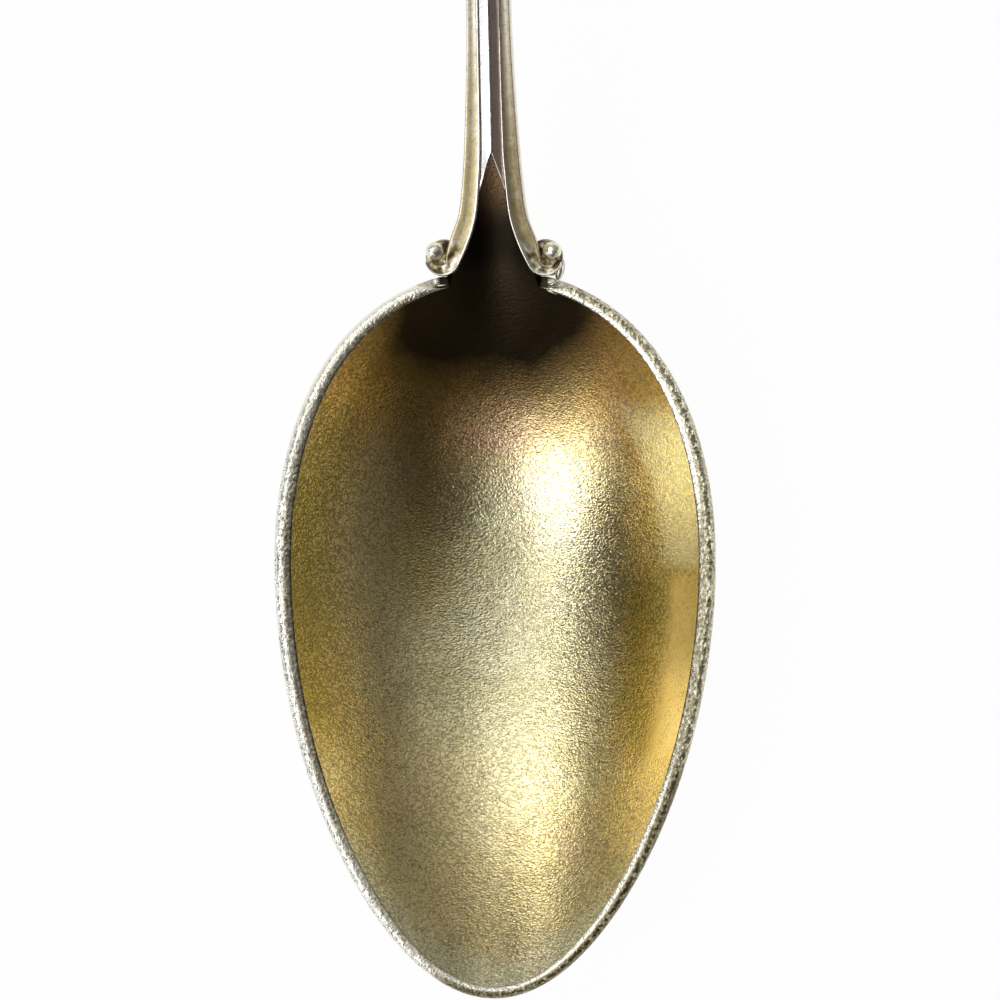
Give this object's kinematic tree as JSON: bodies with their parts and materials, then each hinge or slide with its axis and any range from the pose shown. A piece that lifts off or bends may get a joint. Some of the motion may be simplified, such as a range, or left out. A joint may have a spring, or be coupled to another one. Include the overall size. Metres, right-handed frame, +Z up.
{
  "type": "teaspoon",
  "caption": "Silver teaspoon with a gold-lined egg-shaped bowl, a half-round rim, and a fluted stem whose edge wires curl into scrolls at the shoulders.",
  "frame": {"origin": "on the table, under the middle of the box round the spoon", "axes": "+Y runs from the bowl's tip to the handle's end, +X across the spoon, +Z up with the bowl open upwards"},
  "size_m": [0.03, 0.148, 0.0179],
  "materials": {
    "silver": "polished silver with a faint warm tarnish in the flutes",
    "frosted_silver": "silver with a fine frosted grain and bright rubbed edges",
    "gilt": "matt frosted gold with darker tarnish towards the heel"
  },
  "bodies": {
    "root": {"bowl_shell": "silver", "gilt_lining": "gilt", "rim_wire": "frosted_silver", "heel_drop": "silver", "stem_bar": "silver", "ridge_wire": "silver", "edge_wire_left": "silver", "edge_wire_right": "silver", "scroll_plate_left": "silver", "scroll_plate_right": "silver", "scroll_ball_left": "silver", "scroll_ball_right": "silver", "shoulder_bead_left": "silver", "shoulder_bead_right": "silver", "crest_bead": "silver"}
  },
  "joints": []
}
